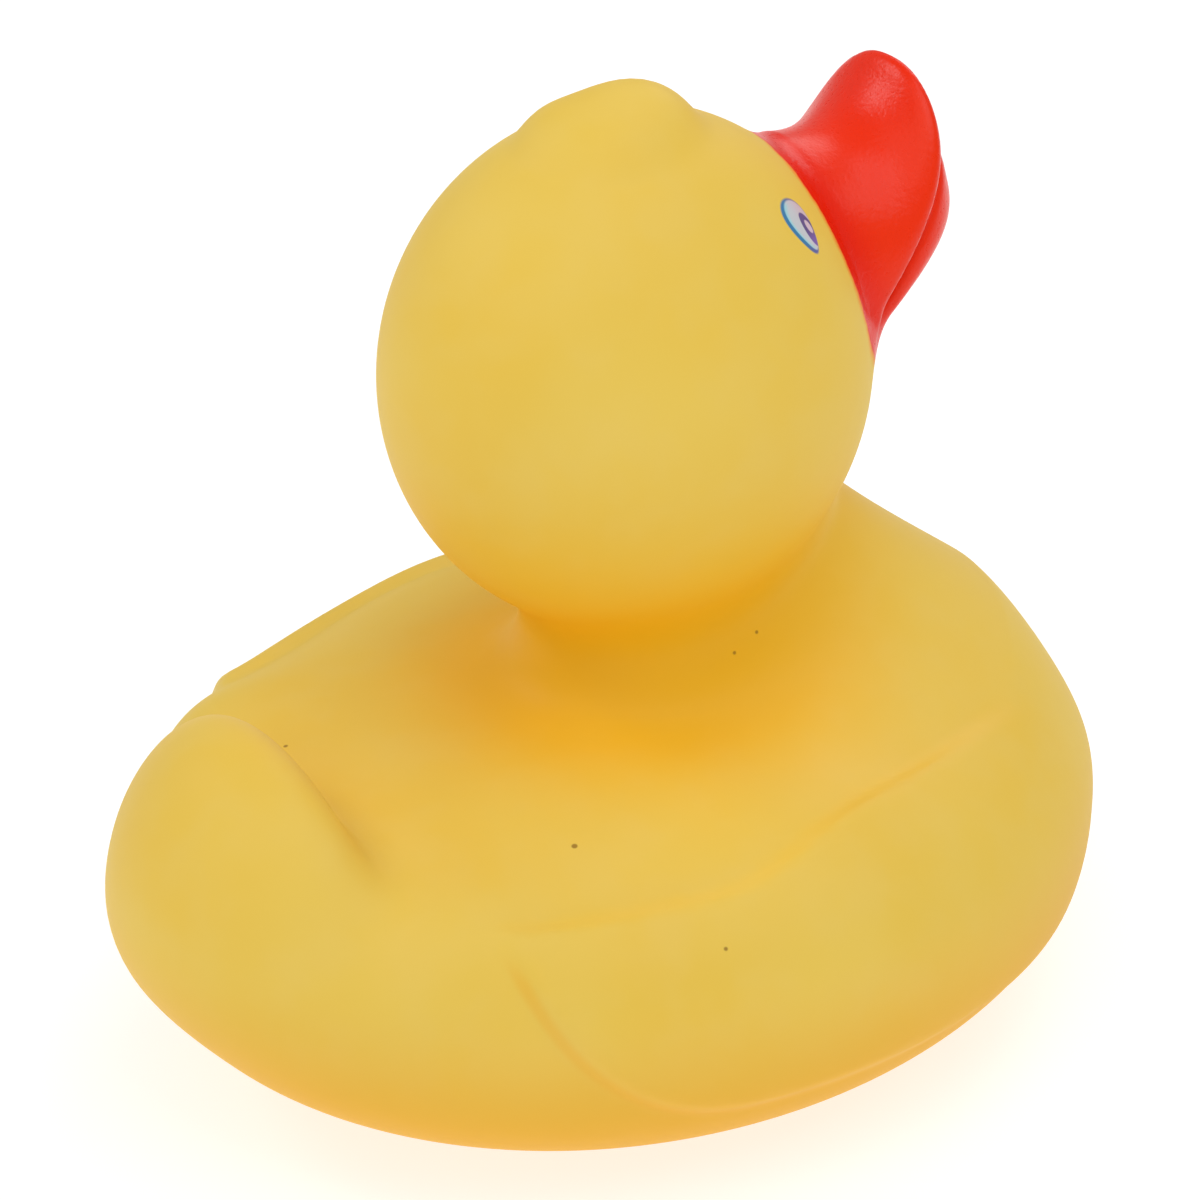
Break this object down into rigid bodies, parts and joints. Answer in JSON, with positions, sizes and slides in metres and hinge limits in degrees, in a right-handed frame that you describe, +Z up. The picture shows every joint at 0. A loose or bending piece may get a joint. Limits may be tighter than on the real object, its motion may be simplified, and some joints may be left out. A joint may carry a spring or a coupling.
{
  "type": "rubber duck",
  "caption": "Bath duck: a hollow soft vinyl moulding with a round head, an upturned beak, low wings and a raised tail, standing on a flat oval base.",
  "frame": {"origin": "centre of the bounding box on the surface that the duck stands on", "axes": "+Z up, the duck looks along -Y, and its own left side is +X"},
  "size_m": [0.0988, 0.1188, 0.1101],
  "materials": {
    "vinyl": "satin"
  },
  "bodies": {
    "root": {"duck_shell": "vinyl"}
  },
  "joints": []
}
